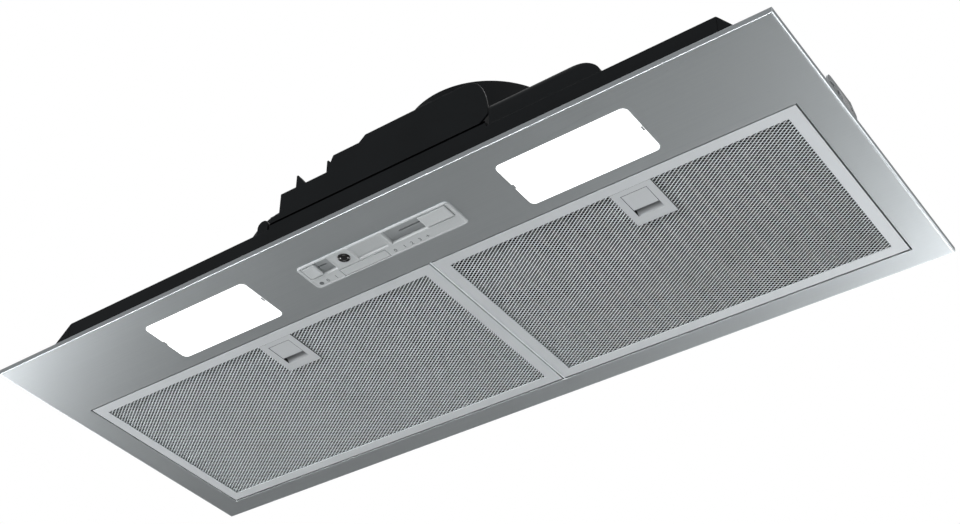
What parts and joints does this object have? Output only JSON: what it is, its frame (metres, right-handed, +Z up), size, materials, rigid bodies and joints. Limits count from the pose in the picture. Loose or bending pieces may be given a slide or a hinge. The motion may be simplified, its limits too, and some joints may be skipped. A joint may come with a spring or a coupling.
{
  "type": "built-in cooker hood insert",
  "caption": "Flat built-in cooker hood insert: steel face panel, hinged grease filters, lamps, slide control, blower housing and round duct collar.",
  "frame": {"origin": "middle of the face panel, on the seat plane where its returned lips meet the cabinet board", "axes": "+X to the right along the panel's length, +Y from its front edge to its rear edge, +Z up into the cabinet"},
  "size_m": [0.73, 0.3, 0.17],
  "materials": {
    "panel_steel": "brushed along the length",
    "filter_steel": "satin",
    "latch_steel": "satin",
    "rail_steel": "zinc plated",
    "mesh_aluminium": "bare expanded metal",
    "core_aluminium": "bare",
    "button_grey": "satin",
    "spring_steel": "bright",
    "housing_black": "moulded, fine grain",
    "flap_black": "moulded",
    "pin_steel": "ground",
    "wheel_plastic": "moulded",
    "motor_alloy": "die cast",
    "bush_rubber": "matte",
    "supply_white": "moulded",
    "terminal_white": "moulded",
    "capacitor_alloy": "drawn can",
    "opal_white": "opal diffuser",
    "reflector_white": "gloss inside",
    "holder_ceramic": "moulded",
    "bulb_glass": "frosted",
    "strip_grey": "satin, moulded",
    "thumb_grey": "satin, ribbed",
    "lens_black": "polished",
    "bracket_zinc": "zinc plated"
  },
  "bodies": {
    "hood": {"face_panel": "panel_steel", "tray_housing": "housing_black", "tray_end_left": "housing_black", "tray_end_right": "housing_black", "tray_rear": "housing_black", "front_housing": "housing_black", "driver_cover": "housing_black", "lamp_driver": "supply_white", "terminal_block": "terminal_white", "run_capacitor": "capacitor_alloy", "cable_gland": "housing_black", "seam_clips": "housing_black", "volute_case": "housing_black", "volute_lid": "housing_black", "inlet_ring": "housing_black", "motor_body": "motor_alloy", "motor_grommets": "bush_rubber", "duct_collar": "housing_black", "damper_pin": "pin_steel", "hinge_rail": "rail_steel", "centre_rail": "rail_steel", "lamp_cover_left": "opal_white", "lamp_cover_right": "opal_white", "lamp_housing_left": "reflector_white", "lamp_housing_right": "reflector_white", "lamp_holder_left": "holder_ceramic", "lamp_holder_right": "holder_ceramic", "lamp_bulb_left": "bulb_glass", "lamp_bulb_right": "bulb_glass", "control_bezel": "strip_grey", "pilot_lens": "lens_black", "switch_module": "terminal_white", "fixing_bracket_left": "bracket_zinc", "fixing_bracket_right": "bracket_zinc"},
    "filter_left": {"filter_frame_left": "filter_steel", "filter_mesh_left": "mesh_aluminium", "filter_core_left": "core_aluminium", "latch_plate_left": "latch_steel"},
    "filter_right": {"filter_frame_right": "filter_steel", "filter_mesh_right": "mesh_aluminium", "filter_core_right": "core_aluminium", "latch_plate_right": "latch_steel"},
    "latch_left": {"latch_slider_left": "button_grey", "latch_spring_left": "spring_steel"},
    "latch_right": {"latch_slider_right": "button_grey", "latch_spring_right": "spring_steel"},
    "light_switch": {"light_slider": "thumb_grey"},
    "fan_switch": {"fan_slider": "thumb_grey"},
    "rotor": {"motor_shaft": "pin_steel", "impeller": "wheel_plastic", "impeller_nut": "pin_steel"},
    "flap_left": {"damper_flap_left": "flap_black"},
    "flap_right": {"damper_flap_right": "flap_black"},
    "leaf_left": {"spring_leaf_left": "spring_steel"},
    "leaf_right": {"spring_leaf_right": "spring_steel"}
  },
  "joints": [
    {"name": "filter_left_swing", "type": "hinge", "parent": "hood", "child": "filter_left", "pos_m": [-0.15415, 0.1245, -0.0005], "axis": [1, 0, 0], "range_deg": [0, 75]},
    {"name": "filter_right_swing", "type": "hinge", "parent": "hood", "child": "filter_right", "pos_m": [0.18615, 0.1245, -0.0005], "axis": [1, 0, 0], "range_deg": [0, 75]},
    {"name": "latch_left_slide", "type": "slide", "parent": "filter_left", "child": "latch_left", "axis": [0, 1, 0], "range_m": [0, 0.005], "stiffness_N_per_m": 200, "springref_m": -0.008},
    {"name": "latch_right_slide", "type": "slide", "parent": "filter_right", "child": "latch_right", "axis": [0, 1, 0], "range_m": [0, 0.005], "stiffness_N_per_m": 200, "springref_m": -0.008},
    {"name": "light_switch_slide", "type": "slide", "parent": "hood", "child": "light_switch", "axis": [1, 0, 0], "range_m": [0, 0.0125]},
    {"name": "fan_switch_slide", "type": "slide", "parent": "hood", "child": "fan_switch", "axis": [-1, 0, 0], "range_m": [0, 0.032]},
    {"name": "rotor_spin", "type": "hinge", "parent": "hood", "child": "rotor", "pos_m": [-0.112, 0.026, 0.08], "axis": [0, 0, 1], "continuous": true},
    {"name": "flap_left_lift", "type": "hinge", "parent": "hood", "child": "flap_left", "pos_m": [0.044, 0, 0.1254], "axis": [0, 1, 0], "range_deg": [0, 72]},
    {"name": "flap_right_lift", "type": "hinge", "parent": "hood", "child": "flap_right", "pos_m": [0.044, 0, 0.1254], "axis": [0, -1, 0], "range_deg": [0, 72]},
    {"name": "leaf_left_flex", "type": "hinge", "parent": "hood", "child": "leaf_left", "pos_m": [-0.3543, -0.011, 0.037], "axis": [0, -1, 0], "range_deg": [0, 10], "stiffness_Nm_per_rad": 0.8, "springref_deg": -5.73},
    {"name": "leaf_right_flex", "type": "hinge", "parent": "hood", "child": "leaf_right", "pos_m": [0.3543, -0.011, 0.037], "axis": [0, 1, 0], "range_deg": [0, 10], "stiffness_Nm_per_rad": 0.8, "springref_deg": -5.73}
  ]
}
